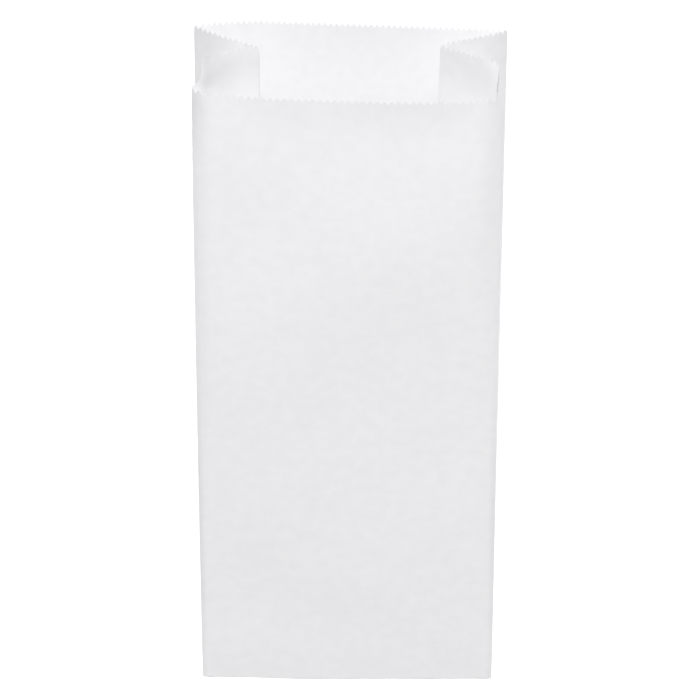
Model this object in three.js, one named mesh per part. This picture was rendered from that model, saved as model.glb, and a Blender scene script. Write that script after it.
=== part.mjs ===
// Gusseted paper bag, empty, lying on its back panel with its mouth a little open.
// One sheet of thin white paper: back and front panels joined by a two-leg gusset on each side,
// a lengthwise glue seam on the back, and a bottom end that is folded onto the back and glued.
// Millimetres, +Z up. X runs across the bag and Y along it, toward the mouth.

import * as THREE from 'three';
import { mergeVertices } from 'three/addons/utils/BufferGeometryUtils.js';

// The sheet and the flat bag
const PANEL_WIDTH = 140;          // between the two side creases
const GUSSET_LEG = 35;            // side crease to the inner fold, so each gusset is 70 mm of paper
const FRONT_LENGTH = 336;         // bottom fold to the cut edge of the front panel, at its middle
const LIP_LENGTH = 14;            // back panel and gussets stand this far past the front panel
const CUT_SLANT = 4.5;            // both cuts run off square: this much longer on the left
const PAPER_THICKNESS = 0.1;
const LAYER_GAP = 0.05;           // air between layers that lie on each other
const SEAM_OVERLAP = 12;          // lengthwise glue seam, on the back panel
const SEAM_CENTRE_X = 0;
const SEAM_RAMP = 4;              // the outer layer of the seam lifts its neighbour over this width
const FLAP_DEPTH = 15;            // bottom end, folded onto the back and glued
const FLAP_THICKNESS = 0.3;
const FLAP_RAMP = 25;             // past the flap, the back panel comes down to the ground
const BOTTOM_WALL = 0.3;          // glued paper between the bottom fold and the inside

// The saw-cut edges
const BACK_TOOTH_PITCH = 2.6;
const BACK_TOOTH_HEIGHT = 2.0;
const FRONT_TOOTH_PITCH = 3.2;
const FRONT_TOOTH_HEIGHT = 2.3;
const TORN_STRIP = { left: 4.5, right: 4.2 };   // beside the front creases the gusset is torn off
const TORN_STEP = { left: 4.3, right: 2.0 };    // height left of that strip at its inner end
const TORN_SLANT = 0.4;                         // the tear crosses this width as it drops

// How far the mouth stands open
const CREASE_RISE = { left: 37.0, right: 36.0 };   // front side creases, over the flat bag
const ROLL_RISE = { left: 5.0, right: 4.0 };       // front panel over its own side creases
const ROLL_WIDTH = { left: 9.0, right: 12.0 };     // width of that rounded strip at the mouth
const ROLL_WIDTH_BOTTOM = 3.0;
const FRONT_CROWN = 1.5;                           // middle of the front panel, at the mouth
const FRONT_SHIFT = -1.6;                          // the front panel leans to the left
const OPENING_STRAIGHT = 0.55;                     // share of the rise that is a straight slope
const CORNER_CURL = { left: 6.5, right: 0.5 };     // back corners lift off the ground
const CURL_WIDTH = 30;
const CURL_LENGTH = 160;
const CURL_POWER = 1.4;
const TONGUE_DROP = { left: 2.0, right: 4.0 };     // loose gusset end sinks, past the front panel
const TONGUE_ROOT = 8;            // and starts to sink this far inside it
const SETTLE_LENGTH = 60;         // within this of the bottom the gussets settle flat between the panels

// Sideways bow of each gusset leg at the mouth: one arch, and one wave
const LEG_BOW = {
  left: { back: [0.8, 0.4], front: [-0.6, -3.2] },
  right: { back: [0.6, 0.6], front: [-4.4, 1.4] },
};

// Fineness of the mesh
const LENGTH_STEPS = 24;
const LEG_STEPS = 7;
const PANEL_STEPS = 8;
const ROLL_STEPS = 4;
const RIM_BAND = 5;               // the last plain row lies this far below the teeth
const TOOTH_FOOT = 1.2;           // a straight row with the teeth's own columns lies this far below them
const PATH_STEPS = 48;            // steps of the sum that finds how far along Y a point lies
const FIRST_ROW = 1.6;            // first row past the flap, in depths of the flap
const ROLL_CROWDING = 1.3;        // above 1, the rounded strips have their finer steps at the crease
const MITRE_FLOOR = 0.5;          // limits how far the paper's corner stands out at a sharp fold
const LOOP_SHARE = 0.9;           // part of its place in the loop that a face uses; the rest is the fold

const HALF_WIDTH = PANEL_WIDTH / 2;
const BACK_LENGTH = FRONT_LENGTH + LIP_LENGTH;
const LAYER_PITCH = PAPER_THICKNESS + LAYER_GAP;
const SEAM_LEFT = SEAM_CENTRE_X - SEAM_OVERLAP / 2;
const SEAM_RIGHT = SEAM_CENTRE_X + SEAM_OVERLAP / 2;
const EDGE_STEP = 0.02;           // width over which a cut edge of paper steps up or down
const MIDDLE_INSET = 0.5;         // from the flat gussets' inner folds to the open middle
const MIDDLE_X = HALF_WIDTH - GUSSET_LEG - MIDDLE_INSET;
const X_REACH = 0.1;              // tolerance for points that lie at the edge of a stretch
const SAME_SHARE = 1e-7;
const MERGE_DISTANCE = 1e-3;

const { lerp, clamp, smoothstep } = THREE.MathUtils;
const sideName = (side) => (side < 0 ? 'left' : 'right');

// How open the bag is at a distance from its bottom fold: 0 at the fold, 1 at the front's cut edge
function opening(along) {
  const share = along / FRONT_LENGTH;
  return OPENING_STRAIGHT * share + (1 - OPENING_STRAIGHT) * Math.sin((share * Math.PI) / 2);
}

// Height of the back panel's paper over the ground
function backHeight(x, along) {
  const onFlap = FLAP_THICKNESS * (1 - smoothstep(along, FLAP_DEPTH, FLAP_DEPTH + FLAP_RAMP));
  const across = clamp((Math.abs(x) - (HALF_WIDTH - CURL_WIDTH)) / CURL_WIDTH, 0, 1);
  const down = clamp((along - (BACK_LENGTH - CURL_LENGTH)) / CURL_LENGTH, 0, 1);
  return PAPER_THICKNESS / 2 + onFlap + CORNER_CURL[sideName(x)] * across ** CURL_POWER * down ** 2;
}

// The lengthwise seam: the paper there is doubled, and its neighbour on the right is lifted by it
function seamLift(x, underside) {
  const top = x < SEAM_LEFT + EDGE_STEP / 2 ? 0 : PAPER_THICKNESS;
  const ramp = 1 - clamp((x - SEAM_RIGHT) / SEAM_RAMP, 0, 1);
  const bottom = x > SEAM_RIGHT + EDGE_STEP / 2 ? PAPER_THICKNESS : 0;
  return (underside ? bottom : top) * ramp;
}

const rollRise = (side, along) => ROLL_RISE[sideName(side)] * opening(along);
const rollWidth = (side, along) => lerp(ROLL_WIDTH_BOTTOM, ROLL_WIDTH[sideName(side)], opening(along));

// Paper that the rounded strips take up, so that the front panel keeps its width
function rollExcess(along) {
  const excess = (side) => (2 / 3) * (rollRise(side, along) ** 2 / rollWidth(side, along));
  return excess(-1) + excess(1);
}

// The front side crease
function frontCrease(side, along) {
  const open = opening(along);
  const x = FRONT_SHIFT * open + (side * (PANEL_WIDTH - rollExcess(along))) / 2;
  const flat = backHeight(0, along) + 3 * LAYER_PITCH;
  return new THREE.Vector2(x, flat + CREASE_RISE[sideName(side)] * open);
}

// Front panel at a share of its width, from the right crease to the left one
function frontPoint(share, along) {
  const right = frontCrease(1, along);
  const left = frontCrease(-1, along);
  const x = lerp(right.x, left.x, share);
  const fromRight = clamp((right.x - x) / rollWidth(1, along), 0, 1);
  const fromLeft = clamp((x - left.x) / rollWidth(-1, along), 0, 1);
  const flank = lerp(right.y + rollRise(1, along), left.y + rollRise(-1, along), share);
  const rolled = rollRise(1, along) * (1 - fromRight) ** 2 + rollRise(-1, along) * (1 - fromLeft) ** 2;
  const crown = FRONT_CROWN * opening(along) * 4 * share * (1 - share);
  return new THREE.Vector2(x, flank - rolled + crown);
}

// Back panel at a share of its width, from the left crease to the right one
function backPoint(share, along) {
  const x = lerp(-HALF_WIDTH, HALF_WIDTH, share);
  return new THREE.Vector2(x, backHeight(x, along));
}

// Straight distance between the ends of a bowed leg whose paper is GUSSET_LEG long
function legChord(bow) {
  return GUSSET_LEG - (Math.PI ** 2 / 4) * ((bow[0] ** 2 + 4 * bow[1] ** 2) / GUSSET_LEG);
}

// The inner fold lies where both legs reach it at their own length
function innerFold(side, along) {
  const open = opening(along);
  const bows = LEG_BOW[sideName(side)];
  const backChord = legChord(bows.back.map((amount) => amount * open));
  const frontChord = legChord(bows.front.map((amount) => amount * open));
  const toMiddle = new THREE.Vector2(0, 1.5 * LAYER_PITCH);
  const lower = new THREE.Vector2(side * HALF_WIDTH, backHeight(side * HALF_WIDTH, along)).add(toMiddle);
  const span = frontCrease(side, along).sub(toMiddle).sub(lower);
  span.x *= smoothstep(along, 0, SETTLE_LENGTH);
  const distance = span.length();
  if (along === 0) {
    return lower.sub(new THREE.Vector2(side * backChord, 0));
  }
  const direction = span.divideScalar(distance);
  const upward = (distance ** 2 + backChord ** 2 - frontChord ** 2) / (2 * distance);
  const inward = Math.sqrt(backChord ** 2 - upward ** 2);
  const foot = lower.clone().addScaledVector(direction, upward);
  return foot.addScaledVector(new THREE.Vector2(-direction.y, direction.x), side * inward);
}

// Gusset leg at a share of its length: the back leg starts at the back crease, the front leg at the fold
function legPoint(side, leg, share, along) {
  const fold = innerFold(side, along);
  const half = new THREE.Vector2(0, LAYER_PITCH / 2);
  const layer = new THREE.Vector2(0, LAYER_PITCH);
  const backCrease = new THREE.Vector2(side * HALF_WIDTH, backHeight(side * HALF_WIDTH, along));
  const start = leg === 'back' ? backCrease.add(layer) : fold.clone().add(half);
  const end = leg === 'back' ? fold.clone().sub(half) : frontCrease(side, along).sub(layer);
  const chord = end.clone().sub(start);
  const normal = new THREE.Vector2(-chord.y, chord.x).normalize();
  if (normal.y < 0) {
    normal.negate();
  }
  const [arch, wave] = LEG_BOW[sideName(side)][leg];
  const bow = arch * Math.sin(Math.PI * share) + wave * Math.sin(2 * Math.PI * share);
  const point = start.lerp(end, share).addScaledVector(normal, bow * opening(along));
  if (leg === 'front') {
    const loose = clamp((along - FRONT_LENGTH + TONGUE_ROOT) / (LIP_LENGTH + TONGUE_ROOT), 0, 1);
    point.y -= TONGUE_DROP[sideName(side)] * loose ** 2 * share ** 2;
  }
  return point;
}

// Evenly spaced shares from 0 to 1
const evenShares = (steps) => Array.from({ length: steps + 1 }, (_, index) => index / steps);

// Shares of the back panel: closer together in the curled corners, and at each edge of the seam
function backShares() {
  const xs = [SEAM_LEFT, SEAM_LEFT + EDGE_STEP, SEAM_RIGHT, SEAM_RIGHT + EDGE_STEP, SEAM_RIGHT + SEAM_RAMP];
  for (const side of [-1, 1]) {
    for (const share of evenShares(PANEL_STEPS / 2)) {
      xs.push(side * lerp(MIDDLE_X, HALF_WIDTH, share));
    }
    xs.push(side * lerp(Math.abs(SEAM_CENTRE_X) + SEAM_OVERLAP / 2 + SEAM_RAMP, MIDDLE_X, 0.5));
  }
  return sortedShares(xs.map((x) => (x + HALF_WIDTH) / PANEL_WIDTH));
}

// Shares of the front panel: closer together where it rounds down to its creases
function frontShares() {
  const shares = evenShares(PANEL_STEPS);
  shares.push((HALF_WIDTH - MIDDLE_X) / PANEL_WIDTH, (HALF_WIDTH + MIDDLE_X) / PANEL_WIDTH);
  for (let step = 1; step <= ROLL_STEPS; step += 1) {
    const share = (step / ROLL_STEPS) ** ROLL_CROWDING;
    shares.push((share * ROLL_WIDTH.right) / PANEL_WIDTH);
    shares.push(1 - (share * ROLL_WIDTH.left) / PANEL_WIDTH);
  }
  return sortedShares(shares);
}

function sortedShares(shares) {
  const sorted = [...shares].sort((a, b) => a - b);
  return sorted.filter((share, index) => index === 0 || share - sorted[index - 1] > SAME_SHARE);
}

// The six faces of the tube, in order round it, seen from the bottom end
const FACES = [
  { name: 'back', shares: backShares(), point: backPoint },
  { name: 'rightBack', shares: evenShares(LEG_STEPS), point: (q, s) => legPoint(1, 'back', q, s) },
  { name: 'rightFront', shares: evenShares(LEG_STEPS), point: (q, s) => legPoint(1, 'front', q, s) },
  { name: 'front', shares: frontShares(), point: frontPoint },
  { name: 'leftFront', shares: evenShares(LEG_STEPS), point: (q, s) => legPoint(-1, 'front', 1 - q, s) },
  { name: 'leftBack', shares: evenShares(LEG_STEPS), point: (q, s) => legPoint(-1, 'back', 1 - q, s) },
];

// Where a point of a face lies across the bag when the bag is folded flat
function flatX(face, share) {
  const fold = HALF_WIDTH - GUSSET_LEG;
  const across = {
    back: () => lerp(-HALF_WIDTH, HALF_WIDTH, share),
    rightBack: () => lerp(HALF_WIDTH, fold, share),
    rightFront: () => lerp(fold, HALF_WIDTH, share),
    front: () => lerp(HALF_WIDTH, -HALF_WIDTH, share),
    leftFront: () => lerp(-HALF_WIDTH, -fold, share),
    leftBack: () => lerp(-fold, -HALF_WIDTH, share),
  };
  return across[face.name]();
}

// How far the slanted cut stands past its own middle at a point of a face
const slantAt = (face, share) => (-CUT_SLANT * flatX(face, share)) / PANEL_WIDTH;

// How far along the bag the last plain row lies on each face
function plainEnd(face, share) {
  const back = BACK_LENGTH - BACK_TOOTH_HEIGHT - RIM_BAND;
  const front = FRONT_LENGTH - FRONT_TOOTH_HEIGHT - RIM_BAND;
  const towardFront = { front: 1, rightFront: share, leftFront: 1 - share };
  return lerp(back, front, towardFront[face.name] ?? 0) + slantAt(face, share);
}

const BACK_END = plainEnd(FACES[0], 0.5);

// Saw teeth along a cut edge, two points to a tooth: even points are roots and odd points are tips
const toothShares = (width, pitch) => evenShares(2 * Math.round(width / pitch));

// The cut edge of one face: each point's share of the face and its distance from the bottom fold
function rimProfile(face) {
  return squareRim(face).map(({ share, along }) => ({ share, along: along + slantAt(face, share) }));
}

// The same edge before the slant of the cut
function squareRim(face) {
  if (face.name === 'front') {
    const halfTeeth = 2 * Math.round(PANEL_WIDTH / FRONT_TOOTH_PITCH) - 1;
    return evenShares(halfTeeth).map((share, index) => ({
      share,
      along: FRONT_LENGTH - (index % 2 === 0 ? FRONT_TOOTH_HEIGHT : 0),
    }));
  }
  const width = face.name === 'back' ? PANEL_WIDTH : GUSSET_LEG;
  const profile = toothShares(width, BACK_TOOTH_PITCH).map((share, index) => ({
    share,
    along: BACK_LENGTH - (index % 2 === 0 ? BACK_TOOTH_HEIGHT : 0),
  }));
  if (face.name === 'rightFront') {
    return tornRim(profile, 'right');
  }
  if (face.name === 'leftFront') {
    const mirrored = profile.map((entry) => ({ ...entry, share: 1 - entry.share })).reverse();
    return tornRim(mirrored, 'left').map((entry) => ({ ...entry, share: 1 - entry.share })).reverse();
  }
  return profile;
}

// Beside the front crease the saw missed, and the gusset is torn down to the front panel's edge
function tornRim(profile, side) {
  const strip = TORN_STRIP[side] / GUSSET_LEG;
  const slant = TORN_SLANT / GUSSET_LEG;
  const low = FRONT_LENGTH - (side === 'right' ? FRONT_TOOTH_HEIGHT : 0);
  const kept = profile.filter((entry) => entry.share < 1 - strip - slant);
  return [
    ...kept,
    { share: 1 - strip - slant, along: BACK_LENGTH - BACK_TOOTH_HEIGHT },
    { share: 1 - strip, along: low + TORN_STEP[side] },
    { share: 1 - strip / 2, along: low + TORN_STEP[side] / 2 },
    { share: 1, along: low },
  ];
}

// The glued flap's own edge is saw cut too
function flapProfile() {
  return toothShares(PANEL_WIDTH, BACK_TOOTH_PITCH).map((share, index) => ({
    share,
    along: FLAP_DEPTH - (index % 2 === 0 ? 0 : BACK_TOOTH_HEIGHT),
  }));
}

// One row round the tube: every face's points with their places in its loop
function plainRow(share) {
  return FACES.map((face) => face.shares.map((q) => ({ share: q, along: share * plainEnd(face, q) })));
}

// The straight row that the teeth of the cut edge stand on
function rimFoot(face) {
  return squareRim(face).map(({ share }) => (
    { share, along: plainEnd(face, share) + RIM_BAND - TOOTH_FOOT }
  ));
}

// The same for the teeth of the flap
function flapFoot() {
  return plainRow((FLAP_DEPTH - BACK_TOOTH_HEIGHT - TOOTH_FOOT) / BACK_END).map((entries, faceIndex) => (
    FACES[faceIndex].name === 'back'
      ? flapProfile().map(({ share }) => ({ share, along: FLAP_DEPTH - BACK_TOOTH_HEIGHT - TOOTH_FOOT }))
      : entries
  ));
}

// A row that follows the flap's edge on the back panel, and lies this far past it
function flapRow(past) {
  const flapShare = (FLAP_DEPTH + past) / BACK_END;
  return plainRow(flapShare).map((entries, faceIndex) => {
    if (FACES[faceIndex].name !== 'back') {
      return entries;
    }
    return flapProfile().map((entry) => ({ ...entry, along: entry.along + past }));
  });
}

// Distance along Y of a point whose lengthwise line keeps its true length
function distanceAlong(face, share, along) {
  const steps = Math.max(1, Math.round((PATH_STEPS * along) / BACK_LENGTH));
  let distance = 0;
  let last = face.point(share, 0);
  for (let step = 1; step <= steps; step += 1) {
    const next = face.point(share, (along * step) / steps);
    const rise = next.distanceTo(last);
    distance += Math.sqrt((along / steps) ** 2 - Math.min(rise, along / steps) ** 2);
    last = next;
  }
  return distance;
}

// Section of a row in X and Z, moved out or in from the middle of the paper by a mitre
function offsetSection(row, outward) {
  const middle = row.flatMap((entries, faceIndex) => (
    entries.map((entry) => ({
      ...entry,
      face: FACES[faceIndex],
      loop: faceIndex + entry.share * LOOP_SHARE,
      at: FACES[faceIndex].point(entry.share, entry.along),
    }))
  ));
  return middle.map((entry, index) => {
    const before = middle[(index + middle.length - 1) % middle.length].at;
    const after = middle[(index + 1) % middle.length].at;
    const first = entry.at.clone().sub(before).normalize();
    const second = after.clone().sub(entry.at).normalize();
    const normal = new THREE.Vector2(first.y + second.y, -first.x - second.x).normalize();
    const mitre = 1 / Math.max(MITRE_FLOOR, normal.dot(new THREE.Vector2(first.y, -first.x)));
    const amount = (outward ? 1 : -1) * (PAPER_THICKNESS / 2) * mitre;
    const point = entry.at.clone().addScaledVector(normal, amount);
    return { ...entry, point };
  });
}

// One row as points in space
function rowPoints(row, outward, { onFlap = false, pushY = 0 } = {}) {
  return offsetSection(row, outward).map((entry) => {
    const y = distanceAlong(entry.face, entry.share, entry.along) + pushY;
    let z = entry.point.y;
    if (entry.face.name === 'back') {
      z += seamLift(lerp(-HALF_WIDTH, HALF_WIDTH, entry.share), outward);
      if (outward && onFlap) {
        z = 0;
      }
    }
    return { loop: entry.loop, face: entry.face.name, position: new THREE.Vector3(entry.point.x, y, z) };
  });
}

const triangles = [];

function addTriangle(a, b, c, flip) {
  triangles.push(...(flip ? [a, c, b] : [a, b, c]));
}

// Triangles between two rows of points, each advanced in turn by its place along the row
function joinRows(lower, upper, key, flip) {
  let low = 0;
  let high = 0;
  while (low < lower.length - 1 || high < upper.length - 1) {
    const nextLow = low < lower.length - 1 ? key(lower[low + 1]) : Infinity;
    const nextHigh = high < upper.length - 1 ? key(upper[high + 1]) : Infinity;
    if (nextLow <= nextHigh) {
      addTriangle(lower[low].position, upper[high].position, lower[low + 1].position, flip);
      low += 1;
    } else {
      addTriangle(lower[low].position, upper[high].position, upper[high + 1].position, flip);
      high += 1;
    }
  }
}

// Two whole loops, closed from their last point back to their first
function joinLoops(lower, upper, flip) {
  const close = (row) => [...row, { ...row[0], loop: FACES.length }];
  joinRows(close(lower), close(upper), (entry) => entry.loop, flip);
}

// Flat end of the tube: each layer is closed against its neighbour, and the middle panels to each other
function closeBottom(row, flip) {
  const layer = (name) => row.filter((entry) => entry.face === name);
  const byX = (entry) => entry.position.x;
  const between = (name, low, high) => (
    layer(name).filter((entry) => byX(entry) > low - X_REACH && byX(entry) < high + X_REACH)
      .sort((a, b) => byX(a) - byX(b))
  );
  const nearest = (name, x) => (
    between(name, x, x).sort((a, b) => Math.abs(byX(a) - x) - Math.abs(byX(b) - x))[0]
  );
  const edge = HALF_WIDTH + 1;
  joinRows(between('back', -edge, -MIDDLE_X), between('leftBack', -edge, edge), byX, flip);
  joinRows(between('back', MIDDLE_X, edge), between('rightBack', -edge, edge), byX, flip);
  joinRows(between('leftFront', -edge, edge), between('front', -edge, -MIDDLE_X), byX, flip);
  joinRows(between('rightFront', -edge, edge), between('front', MIDDLE_X, edge), byX, flip);
  joinRows(between('back', -MIDDLE_X, MIDDLE_X), between('front', -MIDDLE_X, MIDDLE_X), byX, flip);
  for (const side of [-1, 1]) {
    const foldEnd = (leg) => between(sideName(side) + leg, -edge, edge).at(side < 0 ? -1 : 0);
    const corners = [
      nearest('back', side * MIDDLE_X), foldEnd('Back'), foldEnd('Front'), nearest('front', side * MIDDLE_X),
    ];
    const [low, legLow, legHigh, high] = corners.map((entry) => entry.position);
    addTriangle(low, legLow, legHigh, side < 0 ? flip : !flip);
    addTriangle(low, legHigh, high, side < 0 ? flip : !flip);
  }
}

// The whole surface of one side of the paper, from the bottom end to the cut edge
function addSheetSide(outward) {
  const rows = [rowPoints(plainRow(0), outward, { onFlap: true, pushY: outward ? 0 : BOTTOM_WALL })];
  const flapShare = FLAP_DEPTH / BACK_END;
  rows.push(rowPoints(plainRow(flapShare / 2), outward, { onFlap: true }));
  if (outward) {
    rows.push(rowPoints(flapFoot(), outward, { onFlap: true }));
    rows.push(rowPoints(flapRow(0), outward, { onFlap: true }));
    rows.push(rowPoints(flapRow(EDGE_STEP), outward));
  } else {
    rows.push(rowPoints(plainRow(flapShare), outward));
  }
  for (const step of evenShares(LENGTH_STEPS)) {
    rows.push(rowPoints(plainRow(lerp(flapShare * FIRST_ROW, 1, step)), outward));
  }
  rows.push(rowPoints(FACES.map(rimFoot), outward));
  rows.push(rowPoints(FACES.map(rimProfile), outward));
  for (let index = 1; index < rows.length; index += 1) {
    joinLoops(rows[index - 1], rows[index], !outward);
  }
  closeBottom(rows[0], outward);
  return rows.at(-1);
}

// Paper bag as one closed body
function makeBagGeometry() {
  const outerRim = addSheetSide(true);
  const innerRim = addSheetSide(false);
  joinLoops(outerRim, innerRim, false);
  const positions = triangles.flatMap((corner) => corner.toArray());
  const geometry = new THREE.BufferGeometry();
  geometry.setAttribute('position', new THREE.Float32BufferAttribute(positions, 3));
  const merged = mergeVertices(geometry, MERGE_DISTANCE);
  merged.computeBoundingBox();
  const box = merged.boundingBox;
  merged.translate(-(box.min.x + box.max.x) / 2, -(box.min.y + box.max.y) / 2, -box.min.z);
  merged.computeVertexNormals();
  return merged;
}

const paper = new THREE.MeshStandardMaterial({ color: 0xf1f1f2, roughness: 0.85, metalness: 0 });

const paperBag = new THREE.Mesh(makeBagGeometry(), paper);
paperBag.name = 'paper_bag';

const bag = new THREE.Group();
bag.add(paperBag);

export default bag;
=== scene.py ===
import math

import bpy
import numpy as np
from mathutils import Matrix, Vector


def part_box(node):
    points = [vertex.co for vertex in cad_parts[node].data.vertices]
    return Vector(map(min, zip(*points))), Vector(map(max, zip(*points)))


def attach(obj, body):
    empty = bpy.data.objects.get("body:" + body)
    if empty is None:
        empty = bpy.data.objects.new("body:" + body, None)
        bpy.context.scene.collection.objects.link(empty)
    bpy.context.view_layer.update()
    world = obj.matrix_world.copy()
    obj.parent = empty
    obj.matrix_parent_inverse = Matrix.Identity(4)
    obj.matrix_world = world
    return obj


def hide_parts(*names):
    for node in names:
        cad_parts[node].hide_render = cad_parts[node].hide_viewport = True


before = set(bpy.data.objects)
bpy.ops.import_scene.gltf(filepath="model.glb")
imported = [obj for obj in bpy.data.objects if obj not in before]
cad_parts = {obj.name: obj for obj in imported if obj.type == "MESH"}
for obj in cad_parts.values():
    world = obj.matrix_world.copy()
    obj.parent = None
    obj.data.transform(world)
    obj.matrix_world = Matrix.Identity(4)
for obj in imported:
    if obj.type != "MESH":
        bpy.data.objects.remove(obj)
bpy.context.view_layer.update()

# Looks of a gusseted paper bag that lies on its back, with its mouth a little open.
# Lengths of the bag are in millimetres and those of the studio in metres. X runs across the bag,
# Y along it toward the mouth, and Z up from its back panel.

MM = 0.001
LEFT, RIGHT = -1, 1

# The flat bag, as the solid has it
PANEL_WIDTH = 140.0           # between the two side creases
GUSSET_LEG = 35.0             # side crease to the inner fold
FRONT_LENGTH = 336.0          # bottom fold to the cut edge of the front panel, at its middle
LIP_LENGTH = 14.0             # back panel and gussets stand this far past the front panel
CUT_SLANT = 4.5               # both cuts run off square: this much longer on the left
PAPER_THICKNESS = 0.1
LAYER_PITCH = 0.15            # one layer and the air over it, where layers lie on each other
SEAM_OVERLAP = 12.0           # lengthwise glue seam, at the middle of the back panel
SEAM_RAMP = 4.0               # the outer layer of the seam lifts its neighbour over this width
FLAP_DEPTH = 15.0             # bottom end, folded onto the back and glued
FLAP_THICKNESS = 0.3
FLAP_RAMP = 25.0              # past the flap, the back panel comes down to the ground
BOTTOM_WALL = 0.3             # glued paper between the bottom fold and the inside
MIDDLE_INSET = 0.5            # from the flat gussets' inner folds to the open middle
EDGE_STEP = 0.02              # width over which a cut edge of paper steps up or down
HALF_WIDTH = PANEL_WIDTH / 2
BACK_LENGTH = FRONT_LENGTH + LIP_LENGTH
MIDDLE_X = HALF_WIDTH - GUSSET_LEG - MIDDLE_INSET

# The saw-cut edges
BACK_TOOTH_PITCH = 2.6
BACK_TOOTH_HEIGHT = 2.0
FRONT_TOOTH_PITCH = 3.2
FRONT_TOOTH_HEIGHT = 2.3
TOOTH_POINTS = (1.0, 0.42, 0.0, 0.42)     # how deep the cut is at the four points of a tooth
TORN_STRIP = {LEFT: 4.5, RIGHT: 4.2}      # beside the front creases the gusset is torn off
TORN_STEP = {LEFT: 4.3, RIGHT: 2.0}       # what still stands of that strip, at its inner end
TORN_SLANT = 0.4                          # the tear crosses this width as it drops
TORN_EDGE = ((1.0, 1.0), (0.66, 0.6), (0.33, 0.25), (0.0, 0.0))     # parts of that strip and step

# How far the mouth stands open
CREASE_RISE = {LEFT: 37.0, RIGHT: 36.0}   # front side creases, over the flat bag
ROLL_RISE = {LEFT: 5.0, RIGHT: 4.0}       # front panel over its own side creases
ROLL_WIDTH = {LEFT: 9.0, RIGHT: 12.0}     # width of that rounded strip at the mouth
ROLL_WIDTH_BOTTOM = 3.0                   # and at the bottom fold
ROLL_HELD = 0.6                           # part of that rise that stays, away from the mouth
ROLL_REACH = 45.0                         # over this last stretch it grows to the whole
FRONT_CROWN = 1.5                         # middle of the front panel over its sides, at the mouth
FRONT_SHIFT = -1.6                        # the front panel leans to the left
OPENING_STRAIGHT = 0.55                   # share of the rise that is a straight slope
CORNER_CURL = {LEFT: 6.5, RIGHT: 0.5}     # back corners lift off the ground
CURL_WIDTH = 30.0
CURL_LENGTH = 160.0
CURL_POWER = 1.4
SETTLE_LENGTH = 60.0                      # near the bottom the gussets settle flat between the panels

# The front panel turns up toward its cut edge, by this height over this reach. Across the panel
# the curl starts in the first span, grows from its left part to the whole in the second, and
# ends in the third.
RIM_CURL = 1.5
RIM_CURL_REACH = 22.0
RIM_CURL_LEFT = 0.6
RIM_CURL_START = (-60.0, -36.0)
RIM_CURL_FULL = (0.0, 16.0)
RIM_CURL_END = (44.0, 60.0)

# Sideways bow of the gusset legs at the mouth: one arch and one wave, as the solid has them
LEG_BOW = {
    (LEFT, "back"): (0.8, 0.4),
    (LEFT, "front"): (-0.6, -3.2),
    (RIGHT, "back"): (0.6, 0.6),
    (RIGHT, "front"): (-4.4, 1.4),
}

# The front legs' own bow: an arch and a wave where the front panel holds them, and past that panel's
# edge the height over the chord at shares of the leg, counted from the inner fold
HELD_BOW = {LEFT: (-0.8, -0.6), RIGHT: (-1.6, 0.4)}
LOOSE_BOW = {
    LEFT: ((0, 0), (0.2, -1.3), (0.36, -1.6), (0.52, -1.1), (0.7, 0.2), (0.86, 1.8), (1, 0)),
    RIGHT: ((0, 0), (0.33, -1.2), (0.6, -2.2), (0.74, -3.0), (0.88, -4.4), (1, 0)),
}
LOOSE_REACH = 26.0                        # the first passes into the second over this last stretch
LOOSE_POWER = 1.5

# A bottom fold that isn't quite straight; each wave has a size, a length and a phase
BOTTOM_SLANT = 0.45
BOTTOM_WAVE = 0.35
BOTTOM_WAVE_REACH = 14.0
BOTTOM_WAVES = ((0.5, 9.0, 0.7), (1.0, 20.0, -1.1))

# The lower part of the front panel stands proud by this much, and sinks between these two places
PUFF = 0.7
PUFF_END = (60.0, 220.0)

# A slanted soft ridge across the front panel
RIDGE_HEIGHT = 1.3
RIDGE_ALONG = 246.0
RIDGE_SLANT = 0.62
RIDGE_REACH = 75.0
RIDGE_ROUNDING = 9.0
RIDGE_POWER = 1.5

# Low swells all over the front panel: height, length across, length along and phase
SWELLS = (
    (0.30, 37.0, 71.0, 0.4),
    (0.22, -26.0, 48.0, 2.1),
    (0.16, 19.0, 33.0, 4.0),
    (0.10, -14.0, 23.0, 1.2),
)

# The ridge and the swells rise between these distances from the side creases, bottom and cut edge
HELD_SIDE = (2.0, 16.0)
HELD_BOTTOM = (4.0, 40.0)
HELD_RIM = (0.0, 40.0)

# Two short creases by the mouth: first and last point, width and height
CREASE_MARKS = (
    ((-20.0, 329.0), (-23.4, 309.0), 1.6, -0.22),
    ((59.5, 331.0), (63.5, 322.0), 1.3, 0.18),
)
CREASE_END = 0.35                         # part of its height that such a crease has at its ends

# Fineness of the mesh
ROW_STEP = 2.6
COLUMN_STEP = 2.4
FOLD_COLUMNS = (0.3, 0.72, 1.35)          # columns this far from each fold
ROLL_COLUMNS = {LEFT: 8, RIGHT: 9}        # columns across each rounded strip
SHARE_DIGITS = 7                          # columns that agree this far are one
FLAP_ROWS = (0.12, 0.35, 0.65)            # rows on the flap, in depths of the flap
FIRST_ROW = 1.35                          # first row past the flap, in depths of the flap
RIM_BAND = 5.0                            # the last plain row lies this far below the teeth
RIM_ROWS = (2.5, 0.4, 0.0)                # rows that follow the cut edge, this far inside it
PATH_STEPS = 40                           # steps of the sum that finds how far along Y a point lies
LOOP_SHARE = 0.9                          # part of its place in the loop that a face uses
MITRE_FLOOR = 0.5                         # limits how far the paper stands out at a sharp fold
FLAT_RISE = 1e-4                          # least height between a gusset's two creases
FLAT_DISTANCE = 1e-3                      # creases this close lie on each other
X_REACH = 0.1                             # tolerance for points at the edge of a stretch
SAME_KEY = 1e-6                           # tolerance for places along a row
SHARP_ANGLE = math.radians(38)            # sharper edges than this aren't smoothed

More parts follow.
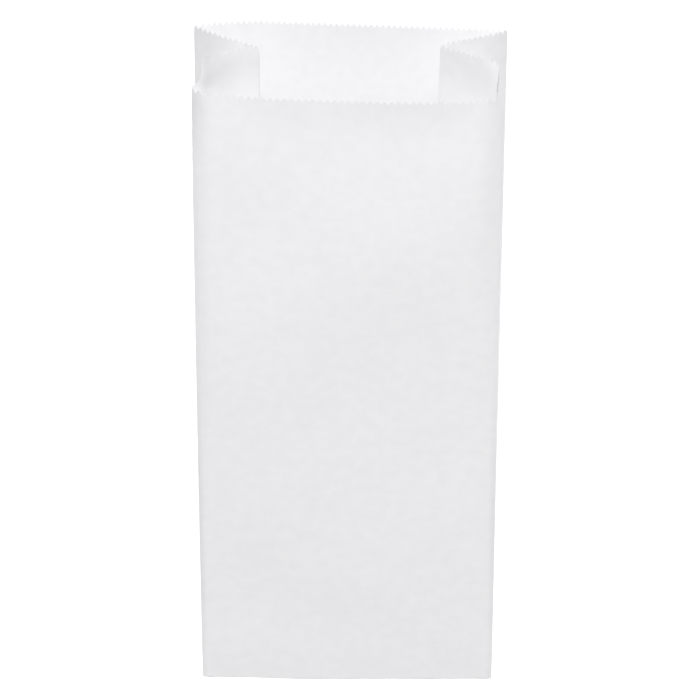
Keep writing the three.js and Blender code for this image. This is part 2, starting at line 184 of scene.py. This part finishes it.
# The paper's finish: shades of white, matt, with a little light through it
PAPER_SHADES = ((0.845, 0.840, 0.856, 1), (0.872, 0.867, 0.880, 1))
PAPER_ROUGHNESS = (0.74, 0.9)
PAPER_IOR = 1.45
PAPER_SPECULAR = 0.2
THROUGH_COLOUR = (0.85, 0.85, 0.84, 1)
THROUGH_SHARE = 0.1

# Noise in the paper: scale, detail and roughness
CLOUDS = (180.0, 3.0, 0.5)
GLAZE = (420.0, 2.0, 0.5)
COCKLES = (95.0, 4.0, 0.5)
FIBRES = (2600.0, 4.0, 0.65)
NOISE_SPAN = (0.3, 0.7)                   # the part of its range that is used

# Bumps in the paper: strength, and depth in metres
COCKLE_BUMP = (0.18, 0.0002)
FIBRE_BUMP = (0.3, 0.00003)

# The floor, which the camera sees as white apart from the bag's shadow; its glow grows with distance
FLOOR_SIZE = 4.0
FLOOR_DROP = 0.1 * MM
FLOOR_GREY = 0.82
FLOOR_SEEN_GREY = 0.97
FLOOR_GLOW = (0.12, 1.0)
FLOOR_GLOW_SPAN = (0.3, 1.2)
WORLD_STRENGTH = 0.08

# The key lamp stands on the mouth side, at about the camera's distance, and is even near and far
LAMP_TARGET = Vector((0, 0, 0))
LAMPS = {
    "key": {"place": (0.0, 1.33, 1.88), "width": 0.04, "height": 0.5, "power": 10.7, "even": True},
    "fill": {"place": (0.0, -2.2, 2.2), "width": 1.6, "height": 1.6, "power": 21.0, "even": False},
}

# The photograph's view
CAMERA_LENS = 226.8
CAMERA_SENSOR = 36.0
CAMERA_TILT = math.radians(29.36)
CAMERA_TURN = math.radians(-0.05)
CAMERA_ROLL = math.radians(0.35)
CAMERA_DISTANCE = 2.0546
CAMERA_TARGET = Vector((0.4, 6.4, 0)) * MM


def smooth(x, low, high):
    """Rises from 0 at low to 1 at high, level at both."""
    t = np.clip((x - low) / (high - low), 0, 1)
    return t * t * (3 - 2 * t)


def opening(along):
    """Share of the mouth's opening at a distance from the bottom fold."""
    share = along / FRONT_LENGTH
    return OPENING_STRAIGHT * share + (1 - OPENING_STRAIGHT) * np.sin(share * math.pi / 2)


def back_height(x, along):
    """Height of the back panel's middle layer, with the flap under it and its curled corners."""
    on_flap = FLAP_THICKNESS * (1 - smooth(along, FLAP_DEPTH, FLAP_DEPTH + FLAP_RAMP))
    across = np.clip((np.abs(x) - (HALF_WIDTH - CURL_WIDTH)) / CURL_WIDTH, 0, 1)
    down = np.clip((along - (BACK_LENGTH - CURL_LENGTH)) / CURL_LENGTH, 0, 1)
    corner = np.where(x < 0, CORNER_CURL[LEFT], CORNER_CURL[RIGHT])
    return PAPER_THICKNESS / 2 + on_flap + corner * across**CURL_POWER * down**2


def seam_lift(x, underside):
    """Height that the seam's overlap adds to one side of the back panel."""
    left, right = -SEAM_OVERLAP / 2, SEAM_OVERLAP / 2
    ramp = 1 - np.clip((x - right) / SEAM_RAMP, 0, 1)
    top = np.where(x < left + EDGE_STEP / 2, 0, PAPER_THICKNESS)
    bottom = np.where(x > right + EDGE_STEP / 2, PAPER_THICKNESS, 0)
    return (bottom if underside else top) * ramp


def roll_rise(side, along):
    """Height of the front panel over its own side crease."""
    held = ROLL_HELD + (1 - ROLL_HELD) * smooth(along, FRONT_LENGTH - ROLL_REACH, FRONT_LENGTH)
    return ROLL_RISE[side] * opening(along) * held


def roll_width(side, along):
    """Width of the rounded strip beside a front crease."""
    return ROLL_WIDTH_BOTTOM + (ROLL_WIDTH[side] - ROLL_WIDTH_BOTTOM) * opening(along)


def front_crease(side, along):
    """Place of a front side crease. The rounded strips take up a little of the panel's width."""
    opened = opening(along)
    excess = sum(2 / 3 * (ROLL_RISE[s] * opened) ** 2 / roll_width(s, along) for s in (LEFT, RIGHT))
    x = FRONT_SHIFT * opened + side * (PANEL_WIDTH - excess) / 2
    z = back_height(np.zeros_like(along), along) + 3 * LAYER_PITCH + CREASE_RISE[side] * opened
    return x, z + ROLL_RISE[side] * opened - roll_rise(side, along)


def rim_curl(x, along):
    """Height by which the front panel's cut edge turns up."""
    across = smooth(x, *RIM_CURL_START) * (1 - smooth(x, *RIM_CURL_END))
    across = across * (RIM_CURL_LEFT + (1 - RIM_CURL_LEFT) * smooth(x, *RIM_CURL_FULL))
    return RIM_CURL * across * np.clip((along - FRONT_LENGTH) / RIM_CURL_REACH + 1, 0, None) ** 2


def handling(x, along):
    """Height that handling adds to the front panel: a slanted ridge, swells and two short creases."""
    from_ridge = (along - RIDGE_ALONG - RIDGE_SLANT * x) / math.hypot(1, RIDGE_SLANT)
    flank = np.hypot(from_ridge, RIDGE_ROUNDING) - RIDGE_ROUNDING
    height = RIDGE_HEIGHT * np.clip(1 - flank / RIDGE_REACH, 0, 1) ** RIDGE_POWER
    for size, across, length, phase in SWELLS:
        height = height + size * np.sin(x / across + phase) * np.sin(along / length * 2 + phase * 2)
    held = smooth(HALF_WIDTH - np.abs(x), *HELD_SIDE) * smooth(along, *HELD_BOTTOM)
    height = height * held * smooth(FRONT_LENGTH - along, *HELD_RIM)
    for (start_x, start), (end_x, end), width, size in CREASE_MARKS:
        share = np.clip((along - start) / (end - start), 0, 1)
        away = np.hypot(x - start_x - (end_x - start_x) * share, along - start - (end - start) * share)
        depth = CREASE_END + (1 - CREASE_END) * np.sin(math.pi * share)
        height = height + size * np.exp(-((away / width) ** 2)) * depth
    return height


def front_point(share, along):
    """Point of the front panel, counted from its right crease."""
    right_x, right_z = front_crease(RIGHT, along)
    left_x, left_z = front_crease(LEFT, along)
    x = right_x + (left_x - right_x) * share
    right_rise, left_rise = roll_rise(RIGHT, along), roll_rise(LEFT, along)
    from_right = np.clip((right_x - x) / roll_width(RIGHT, along), 0, 1)
    from_left = np.clip((x - left_x) / roll_width(LEFT, along), 0, 1)
    right_top, left_top = right_z + right_rise, left_z + left_rise
    flank = right_top + (left_top - right_top) * share
    rolled = right_rise * (1 - from_right) ** 2 + left_rise * (1 - from_left) ** 2
    crown = FRONT_CROWN * opening(along) * 4 * share * (1 - share)
    edge = np.minimum(from_right * roll_width(RIGHT, along), from_left * roll_width(LEFT, along))
    puffed = PUFF * (1 - smooth(along, *PUFF_END))
    puffed = puffed * (1 - (1 - np.clip(edge / ROLL_WIDTH_BOTTOM, 0, 1)) ** 2)
    return x, flank - rolled + crown + puffed + rim_curl(x, along) + handling(x, along)


def back_point(share, along):
    """Point of the back panel, counted from its left crease."""
    x = -HALF_WIDTH + PANEL_WIDTH * share
    return x + 0 * along, back_height(x, along)


def through_nodes(nodes, share):
    """Smooth curve through the nodes, level where they turn."""
    at, height = np.array(nodes).T
    slope = np.diff(height) / np.diff(at)
    product = slope[:-1] * slope[1:]
    inner = np.where(product > 0, 2 * product / np.where(product > 0, slope[:-1] + slope[1:], 1), 0)
    tangent = np.concatenate([slope[:1], inner, slope[-1:]])
    part = np.clip(np.searchsorted(at, share, "right") - 1, 0, len(at) - 2)
    width = (at[1:] - at[:-1])[part]
    u = (share - at[part]) / width
    rise = height[part] * (1 + 2 * u) * (1 - u) ** 2 + height[part + 1] * u * u * (3 - 2 * u)
    return rise + width * u * (1 - u) * (tangent[part] * (1 - u) - tangent[part + 1] * u)


def leg_chord(bow, opened):
    """Straight distance between the folds of a bowed leg, whose paper keeps its length."""
    arch, wave = bow
    return GUSSET_LEG - math.pi**2 / 4 * (arch**2 + 4 * wave**2) * opened**2 / GUSSET_LEG


def inner_fold(side, along):
    """Place of a gusset's inner fold, at its two legs' lengths from the two side creases."""
    opened = opening(along)
    back_chord = leg_chord(LEG_BOW[side, "back"], opened)
    front_chord = leg_chord(LEG_BOW[side, "front"], opened)
    to_middle = 1.5 * LAYER_PITCH
    low_x = side * HALF_WIDTH
    low_z = back_height(np.full_like(along, low_x), along) + to_middle
    high_x, high_z = front_crease(side, along)
    dx = (high_x - low_x) * smooth(along, 0, SETTLE_LENGTH)
    dz = np.maximum(high_z - to_middle - low_z, FLAT_RISE)
    distance = np.hypot(dx, dz)
    upward = (distance**2 + back_chord**2 - front_chord**2) / (2 * distance)
    upward = np.where(distance < FLAT_DISTANCE, 0, upward)
    inward = np.sqrt(back_chord**2 - upward**2)
    x = low_x + (dx * upward - side * dz * inward) / distance
    z = low_z + (dz * upward + side * dx * inward) / distance
    return x, z


def leg_point(side, leg, share, along):
    """Point of a gusset leg. Back legs are counted from the crease, front legs from the inner fold."""
    fold_x, fold_z = inner_fold(side, along)
    if leg == "back":
        start_x = np.full_like(along, side * HALF_WIDTH)
        start_z = back_height(start_x, along) + LAYER_PITCH
        end_x, end_z = fold_x, fold_z - LAYER_PITCH / 2
    else:
        start_x, start_z = fold_x, fold_z + LAYER_PITCH / 2
        end_x, end_z = front_crease(side, along)
        end_z = end_z - LAYER_PITCH
    dx, dz = end_x - start_x, end_z - start_z
    length = np.hypot(dx, dz)
    normal_x, normal_z = -dz / length, dx / length
    flip = np.where(normal_z < 0, -1, 1)
    arch, wave = LEG_BOW[side, leg] if leg == "back" else HELD_BOW[side]
    bow = arch * np.sin(math.pi * share) + wave * np.sin(2 * math.pi * share)
    if leg == "front":
        loose = np.clip((along - BACK_LENGTH + LOOSE_REACH) / LOOSE_REACH, 0, None) ** LOOSE_POWER
        bow = bow + (through_nodes(LOOSE_BOW[side], share) - bow) * loose
    bow = bow * opening(along) * flip
    return start_x + dx * share + normal_x * bow, start_z + dz * share + normal_z * bow


# The six faces of the tube, in order round it, seen from the bottom end
POINTS = {
    "back": back_point,
    "right_back": lambda share, along: leg_point(RIGHT, "back", share, along),
    "right_front": lambda share, along: leg_point(RIGHT, "front", share, along),
    "front": front_point,
    "left_front": lambda share, along: leg_point(LEFT, "front", 1 - share, along),
    "left_back": lambda share, along: leg_point(LEFT, "back", 1 - share, along),
}
FACES = list(POINTS)

# Where the first and last point of each face lie on the flat bag
FLAT_ENDS = {
    "back": (-HALF_WIDTH, HALF_WIDTH),
    "right_back": (HALF_WIDTH, HALF_WIDTH - GUSSET_LEG),
    "right_front": (HALF_WIDTH - GUSSET_LEG, HALF_WIDTH),
    "front": (HALF_WIDTH, -HALF_WIDTH),
    "left_front": (-HALF_WIDTH, GUSSET_LEG - HALF_WIDTH),
    "left_back": (GUSSET_LEG - HALF_WIDTH, -HALF_WIDTH),
}


def flat_x(face, share):
    """Where a share of a face lies across the flat bag."""
    start, end = FLAT_ENDS[face]
    return start + (end - start) * share


def eased_shares(width, *extra):
    """Shares of a face, close together at its two folds, with any extra ones."""
    even = np.linspace(0, 1, math.ceil(width / COLUMN_STEP) + 1)
    near = np.array(FOLD_COLUMNS) / width
    return np.unique(np.round(np.concatenate([even, near, 1 - near, *extra]), SHARE_DIGITS))


def plain_shares(face):
    """Shares of a face's plain columns."""
    if face == "back":
        edge = SEAM_OVERLAP / 2
        seam = [-edge, -edge + EDGE_STEP, edge, edge + EDGE_STEP, edge + SEAM_RAMP]
        lines = np.array(seam + [-MIDDLE_X, MIDDLE_X])
        return eased_shares(PANEL_WIDTH, (lines + HALF_WIDTH) / PANEL_WIDTH)
    if face == "front":
        middle = (np.array([-MIDDLE_X, MIDDLE_X]) + HALF_WIDTH) / PANEL_WIDTH
        right = np.linspace(0, ROLL_WIDTH[RIGHT], ROLL_COLUMNS[RIGHT]) / PANEL_WIDTH
        left = 1 - np.linspace(0, ROLL_WIDTH[LEFT], ROLL_COLUMNS[LEFT]) / PANEL_WIDTH
        return eased_shares(PANEL_WIDTH, middle, right, left)
    return eased_shares(GUSSET_LEG)


SHARES = {face: plain_shares(face) for face in FACES}


def plain_end(face, share):
    """How far along the bag the last plain row lies."""
    back = BACK_LENGTH - BACK_TOOTH_HEIGHT - RIM_BAND
    front = FRONT_LENGTH - FRONT_TOOTH_HEIGHT - RIM_BAND
    shares_of_front = {"front": 1 + 0 * share, "right_front": share, "left_front": 1 - share}
    toward_front = shares_of_front.get(face, 0 * share)
    return back + (front - back) * toward_front - CUT_SLANT * flat_x(face, share) / PANEL_WIDTH


def saw(width, pitch, height, length, odd=0):
    """Shares and lengths of a saw-cut edge, with four points to a tooth."""
    halves = 2 * round(width / pitch) - odd
    share = np.linspace(0, 1, 2 * halves + 1)
    point = np.arange(2 * halves + 1) % len(TOOTH_POINTS)
    return share, length - height * np.array(TOOTH_POINTS)[point]


def torn(share, along, side):
    """A front leg's cut edge, from inner fold to front crease, with the torn strip beside the crease."""
    strip, slant = TORN_STRIP[side] / GUSSET_LEG, TORN_SLANT / GUSSET_LEG
    start = 1 - strip - slant
    low = FRONT_LENGTH - (FRONT_TOOTH_HEIGHT if side == RIGHT else 0)
    tear_share = [start, 1 - strip - slant / 2] + [1 - strip * part for part, _ in TORN_EDGE]
    tear = [BACK_LENGTH - BACK_TOOTH_HEIGHT, low + LIP_LENGTH / 2]
    tear += [low + TORN_STEP[side] * part for _, part in TORN_EDGE]
    kept = share < start
    return np.concatenate([share[kept], tear_share]), np.concatenate([along[kept], tear])


def rim_profile(face):
    """Shares and lengths of a face's cut edge."""
    if face == "front":
        share, along = saw(PANEL_WIDTH, FRONT_TOOTH_PITCH, FRONT_TOOTH_HEIGHT, FRONT_LENGTH, odd=1)
    elif face == "back":
        share, along = saw(PANEL_WIDTH, BACK_TOOTH_PITCH, BACK_TOOTH_HEIGHT, BACK_LENGTH)
    else:
        share, along = saw(GUSSET_LEG, BACK_TOOTH_PITCH, BACK_TOOTH_HEIGHT, BACK_LENGTH)
    if face == "right_front":
        share, along = torn(share, along, RIGHT)
    if face == "left_front":
        share, along = torn(share, along, LEFT)
        share, along = 1 - share[::-1], along[::-1]
    return share, along - CUT_SLANT * flat_x(face, share) / PANEL_WIDTH


def rim_row(sunk):
    """The cut edge, or a row that follows it this far inside."""
    row = []
    for face in FACES:
        share, along = rim_profile(face)
        if sunk:
            along = np.minimum(along, plain_end(face, share) + RIM_BAND) - sunk
        row.append((share, along))
    return row


def plain_row(part):
    """The row at this part of the way to the last plain row."""
    return [(SHARES[face], part * plain_end(face, SHARES[face])) for face in FACES]


def flap_row(past):
    """A row that follows the flap's saw-cut edge on the back panel, this far past it."""
    row = []
    for face in FACES:
        if face == "back":
            share, along = saw(PANEL_WIDTH, BACK_TOOTH_PITCH, BACK_TOOTH_HEIGHT, FLAP_DEPTH)
            row.append((share, along + past))
        else:
            row.append((SHARES[face], np.full_like(SHARES[face], FLAP_DEPTH + past)))
    return row


def distance_along(face, share, along):
    """Distance along Y of points whose lengthwise lines keep their true length."""
    steps = np.linspace(0, 1, PATH_STEPS + 1)[:, None]
    path = steps * along[None, :]
    x, z = POINTS[face](np.broadcast_to(share, path.shape), path)
    rise = np.diff(x, axis=0) ** 2 + np.diff(z, axis=0) ** 2
    return np.sqrt(np.maximum(np.diff(path, axis=0) ** 2 - rise, 0)).sum(0)


def bottom_offset(face, share, along):
    """Shift along Y from a bottom fold that isn't quite straight."""
    across = flat_x(face, share)
    wave = sum(size * np.sin(across / length + phase) for size, length, phase in BOTTOM_WAVES)
    slant = -BOTTOM_SLANT * across / PANEL_WIDTH * np.clip(1 - along / FRONT_LENGTH, 0, 1)
    return slant + BOTTOM_WAVE * wave * np.exp(-along / BOTTOM_WAVE_REACH)


def row_points(row, outward, on_flap=False, push_y=0.0):
    """One row round the tube: its loop places, faces and points, on one side of the paper."""
    loop, names, ys, mids = [], [], [], []
    for number, (face, (share, along)) in enumerate(zip(FACES, row)):
        ys.append(distance_along(face, share, along) + bottom_offset(face, share, along) + push_y)
        mids.append(np.stack(POINTS[face](share, along), 1))
        loop.append(number + share * LOOP_SHARE)
        names += [face] * len(share)
    middle = np.concatenate(mids)
    before = middle - np.roll(middle, 1, 0)
    after = np.roll(middle, -1, 0) - middle
    before /= np.linalg.norm(before, axis=1)[:, None]
    after /= np.linalg.norm(after, axis=1)[:, None]
    normal = np.stack([before[:, 1] + after[:, 1], -before[:, 0] - after[:, 0]], 1)
    normal /= np.linalg.norm(normal, axis=1)[:, None]
    mitre = 1 / np.maximum(MITRE_FLOOR, normal[:, 0] * before[:, 1] - normal[:, 1] * before[:, 0])
    shift = (1 if outward else -1) * PAPER_THICKNESS / 2 * mitre
    section = middle + normal * shift[:, None]
    names = np.array(names)
    is_back = names == "back"
    back_share = row[FACES.index("back")][0]
    section[is_back, 1] += seam_lift(flat_x("back", back_share), outward)
    if outward and on_flap:
        section[is_back, 1] = 0
    points = np.stack([section[:, 0], np.concatenate(ys), section[:, 1]], 1)
    return {"loop": np.concatenate(loop), "face": names, "points": points}


class SheetMesh:
    """Collects rows of points and the faces between them."""

    def __init__(self):
        self.points = []
        self.faces = []
        self.count = 0

    def add_row(self, row):
        """Takes in a row's points and numbers them."""
        row["index"] = np.arange(len(row["points"])) + self.count
        self.points.append(row["points"])
        self.count += len(row["points"])
        return row

    def add_face(self, corners, flip):
        """Adds one face, turned over where asked."""
        self.faces.append(tuple(reversed(corners)) if flip else tuple(corners))

    def join(self, low_index, low_key, high_index, high_key, flip):
        """Faces between two rows, each advanced in turn by its place along the row."""
        low = high = 0
        while low < len(low_index) - 1 or high < len(high_index) - 1:
            next_low = low_key[low + 1] if low < len(low_index) - 1 else math.inf
            next_high = high_key[high + 1] if high < len(high_index) - 1 else math.inf
            if abs(next_low - next_high) < SAME_KEY:
                corners = low_index[low], high_index[high], high_index[high + 1], low_index[low + 1]
                low, high = low + 1, high + 1
            elif next_low < next_high:
                corners = low_index[low], high_index[high], low_index[low + 1]
                low += 1
            else:
                corners = low_index[low], high_index[high], high_index[high + 1]
                high += 1
            self.add_face([int(corner) for corner in corners], flip)

    def join_loops(self, low, high, flip):
        """Faces between two closed rows."""
        def closed(row):
            return np.append(row["index"], row["index"][0]), np.append(row["loop"], len(FACES))

        self.join(*closed(low), *closed(high), flip)

    def close_bottom(self, row, flip):
        """Faces that close the bottom end between the layers of the flat bag."""
        x = row["points"][:, 0]

        def layer(face, low=-PANEL_WIDTH, high=PANEL_WIDTH):
            chosen = np.flatnonzero((row["face"] == face) & (x > low - X_REACH) & (x < high + X_REACH))
            chosen = chosen[np.argsort(x[chosen])]
            return row["index"][chosen], x[chosen]

        middle = (-MIDDLE_X, MIDDLE_X)
        self.join(*layer("back", high=-MIDDLE_X), *layer("left_back"), flip)
        self.join(*layer("back", low=MIDDLE_X), *layer("right_back"), flip)
        self.join(*layer("left_front"), *layer("front", high=-MIDDLE_X), flip)
        self.join(*layer("right_front"), *layer("front", low=MIDDLE_X), flip)
        self.join(*layer("back", *middle), *layer("front", *middle), flip)
        for side, name, end in ((LEFT, "left", -1), (RIGHT, "right", 0)):
            edge = side * MIDDLE_X
            low, high = (layer(face, edge, edge)[0] for face in ("back", "front"))
            legs = [layer(f"{name}_{leg}")[0][end] for leg in ("back", "front")]
            corners = [int(low[0]), int(legs[0]), int(legs[1]), int(high[0])]
            self.add_face(corners, flip if side == LEFT else not flip)


def sheet_side(mesh, outward):
    """One side of the paper, from the bottom end to the cut edge. Returns its cut edge."""
    flap_end = FLAP_DEPTH / BACK_LENGTH
    rows = [row_points(plain_row(0), outward, on_flap=True, push_y=0 if outward else BOTTOM_WALL)]
    for part in FLAP_ROWS:
        rows.append(row_points(plain_row(flap_end * part), outward, on_flap=True))
    if outward:
        rows.append(row_points(flap_row(0), outward, on_flap=True))
        rows.append(row_points(flap_row(EDGE_STEP), outward))
    else:
        rows.append(row_points(plain_row(flap_end), outward))
    for part in np.linspace(flap_end * FIRST_ROW, 1, math.ceil(BACK_LENGTH / ROW_STEP)):
        rows.append(row_points(plain_row(part), outward))
    for sunk in RIM_ROWS:
        rows.append(row_points(rim_row(sunk), outward))
    rows = [mesh.add_row(row) for row in rows]
    for low, high in zip(rows, rows[1:]):
        mesh.join_loops(low, high, not outward)
    mesh.close_bottom(rows[0], outward)
    return rows[-1]


def make_bag():
    """The whole sheet as one closed mesh, in metres, where the solid lies."""
    sheet = SheetMesh()
    outer = sheet_side(sheet, True)
    inner = sheet_side(sheet, False)
    sheet.join_loops(outer, inner, False)
    points = np.concatenate(sheet.points)
    low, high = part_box("paper_bag")
    points[:, 1] += low.y / MM - points[:, 1].min()
    mesh = bpy.data.meshes.new("paper_sheet")
    mesh.from_pydata((points * MM).tolist(), [], sheet.faces)
    mesh.validate()
    mesh.shade_smooth()
    mesh.set_sharp_from_angle(angle=SHARP_ANGLE)
    bag = bpy.data.objects.new("paper_sheet", mesh)
    bpy.context.scene.collection.objects.link(bag)
    return bag


def map_range(tree, value, span, result):
    """A node that carries the value from one span to another."""
    node = tree.nodes.new("ShaderNodeMapRange")
    node.inputs["From Min"].default_value, node.inputs["From Max"].default_value = span
    node.inputs["To Min"].default_value, node.inputs["To Max"].default_value = result
    tree.links.new(value, node.inputs["Value"])
    return node.outputs["Result"]


def paper_material():
    """Thin white bag paper: cloudy fibres, a faint glaze, and a little light through it."""
    mat = bpy.data.materials.new("white_paper")
    mat.use_nodes = True
    tree = mat.node_tree
    nodes, links = tree.nodes, tree.links
    shader = nodes["Principled BSDF"]
    shader.inputs["IOR"].default_value = PAPER_IOR
    shader.inputs["Specular IOR Level"].default_value = PAPER_SPECULAR
    place = nodes.new("ShaderNodeTexCoord")

    def noise(scale, detail, roughness):
        texture = nodes.new("ShaderNodeTexNoise")
        texture.inputs["Scale"].default_value = scale
        texture.inputs["Detail"].default_value = detail
        texture.inputs["Roughness"].default_value = roughness
        links.new(place.outputs["Object"], texture.inputs["Vector"])
        return texture.outputs["Fac"]

    def bump(height, strength, distance):
        node = nodes.new("ShaderNodeBump")
        node.inputs["Strength"].default_value = strength
        node.inputs["Distance"].default_value = distance
        links.new(height, node.inputs["Height"])
        return node

    shade = nodes.new("ShaderNodeMix")
    shade.data_type = "RGBA"
    shade.inputs["A"].default_value, shade.inputs["B"].default_value = PAPER_SHADES
    links.new(map_range(tree, noise(*CLOUDS), NOISE_SPAN, (0.0, 1.0)), shade.inputs["Factor"])
    links.new(shade.outputs["Result"], shader.inputs["Base Color"])
    links.new(map_range(tree, noise(*GLAZE), NOISE_SPAN, PAPER_ROUGHNESS), shader.inputs["Roughness"])
    cockle_bump = bump(noise(*COCKLES), *COCKLE_BUMP)
    fibre_bump = bump(noise(*FIBRES), *FIBRE_BUMP)
    links.new(cockle_bump.outputs["Normal"], fibre_bump.inputs["Normal"])
    links.new(fibre_bump.outputs["Normal"], shader.inputs["Normal"])
    through = nodes.new("ShaderNodeBsdfTranslucent")
    through.inputs["Color"].default_value = THROUGH_COLOUR
    mix = nodes.new("ShaderNodeMixShader")
    mix.inputs["Fac"].default_value = THROUGH_SHARE
    links.new(shader.outputs[0], mix.inputs[1])
    links.new(through.outputs[0], mix.inputs[2])
    links.new(mix.outputs[0], nodes["Material Output"].inputs["Surface"])
    return mat


def seen_as(tree, plain, seen):
    """Shader that is plain to light, and the seen one where the camera or a reflection meets it."""
    path = tree.nodes.new("ShaderNodeLightPath")
    chosen = path.outputs["Is Camera Ray"]
    for name in ("Is Glossy Ray", "Is Transmission Ray"):
        both = tree.nodes.new("ShaderNodeMath")
        both.operation = "MAXIMUM"
        tree.links.new(chosen, both.inputs[0])
        tree.links.new(path.outputs[name], both.inputs[1])
        chosen = both.outputs[0]
    mix = tree.nodes.new("ShaderNodeMixShader")
    tree.links.new(chosen, mix.inputs["Fac"])
    tree.links.new(plain.outputs[0], mix.inputs[1])
    tree.links.new(seen.outputs[0], mix.inputs[2])
    return mix.outputs[0]


def floor_material():
    """Pale floor that shows as white, apart from the object's shadow."""
    mat = bpy.data.materials.new("pale_floor")
    mat.use_nodes = True
    tree = mat.node_tree
    nodes, links = tree.nodes, tree.links
    nodes.clear()

    def diffuse(grey):
        node = nodes.new("ShaderNodeBsdfDiffuse")
        node.inputs["Color"].default_value = (grey, grey, grey, 1)
        return node

    glow = nodes.new("ShaderNodeEmission")
    glow.inputs["Color"].default_value = (1, 1, 1, 1)
    place = nodes.new("ShaderNodeTexCoord")
    away = nodes.new("ShaderNodeVectorMath")
    away.operation = "LENGTH"
    links.new(place.outputs["Object"], away.inputs[0])
    strength = map_range(tree, away.outputs["Value"], FLOOR_GLOW_SPAN, FLOOR_GLOW)
    links.new(strength, glow.inputs["Strength"])
    bright = nodes.new("ShaderNodeAddShader")
    links.new(diffuse(FLOOR_SEEN_GREY).outputs[0], bright.inputs[0])
    links.new(glow.outputs[0], bright.inputs[1])
    out = nodes.new("ShaderNodeOutputMaterial")
    links.new(seen_as(tree, diffuse(FLOOR_GREY), bright), out.inputs["Surface"])
    return mat


def make_floor():
    """A wide floor, just under the bag."""
    mesh = bpy.data.meshes.new("floor")
    corners = [(x * FLOOR_SIZE, y * FLOOR_SIZE, 0) for x, y in ((-1, -1), (1, -1), (1, 1), (-1, 1))]
    mesh.from_pydata(corners, [], [(0, 1, 2, 3)])
    floor = bpy.data.objects.new("floor", mesh)
    floor.location.z = -FLOOR_DROP
    floor.data.materials.append(floor_material())
    bpy.context.scene.collection.objects.link(floor)


def make_world():
    """Weak light from all round, seen as white."""
    world = bpy.data.worlds.new("studio")
    bpy.context.scene.world = world
    world.use_nodes = True
    tree = world.node_tree
    soft = tree.nodes["Background"]
    white = tree.nodes.new("ShaderNodeBackground")
    for node, strength in ((soft, WORLD_STRENGTH), (white, 1.0)):
        node.inputs["Color"].default_value = (1, 1, 1, 1)
        node.inputs["Strength"].default_value = strength
    tree.links.new(seen_as(tree, soft, white), tree.nodes["World Output"].inputs["Surface"])


def make_lamp(name, place, width, height, power, even):
    """A soft box that faces the bag; an even one lights near and far parts alike."""
    data = bpy.data.lights.new(name, "AREA")
    data.shape = "RECTANGLE"
    data.size = width
    data.size_y = height
    data.energy = power
    if even:
        data.use_nodes = True
        nodes = data.node_tree.nodes
        falloff = nodes.new("ShaderNodeLightFalloff")
        falloff.inputs["Strength"].default_value = 1.0
        data.node_tree.links.new(falloff.outputs["Constant"], nodes["Emission"].inputs["Strength"])
    lamp = bpy.data.objects.new(name, data)
    lamp.location = place
    lamp.rotation_euler = (LAMP_TARGET - Vector(place)).to_track_quat("-Z", "Y").to_euler()
    bpy.context.scene.collection.objects.link(lamp)


def make_camera():
    """Looks at the bag from above its mouth, with the bag upright in the picture."""
    ahead = math.cos(CAMERA_TURN)
    back = Vector((math.sin(CAMERA_TURN), math.sin(CAMERA_TILT) * ahead, math.cos(CAMERA_TILT) * ahead))
    level = Vector((0, 1, 0)).cross(back).normalized()
    upright = back.cross(level)
    right = level * math.cos(CAMERA_ROLL) + upright * math.sin(CAMERA_ROLL)
    up = upright * math.cos(CAMERA_ROLL) - level * math.sin(CAMERA_ROLL)
    data = bpy.data.cameras.new("camera")
    data.sensor_width = CAMERA_SENSOR
    data.lens = CAMERA_LENS
    camera = bpy.data.objects.new("camera", data)
    turned = Matrix((right, up, back)).transposed().to_4x4()
    camera.matrix_world = Matrix.Translation(CAMERA_TARGET + back * CAMERA_DISTANCE) @ turned
    bpy.context.scene.collection.objects.link(camera)
    bpy.context.scene.camera = camera


make_camera()
make_world()
for lamp_name, lamp_values in LAMPS.items():
    make_lamp(lamp_name, **lamp_values)
make_floor()

bag = make_bag()
bag.data.materials.append(paper_material())
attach(bag, "root")
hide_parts("paper_bag")

bpy.context.scene.view_settings.view_transform = "Standard"
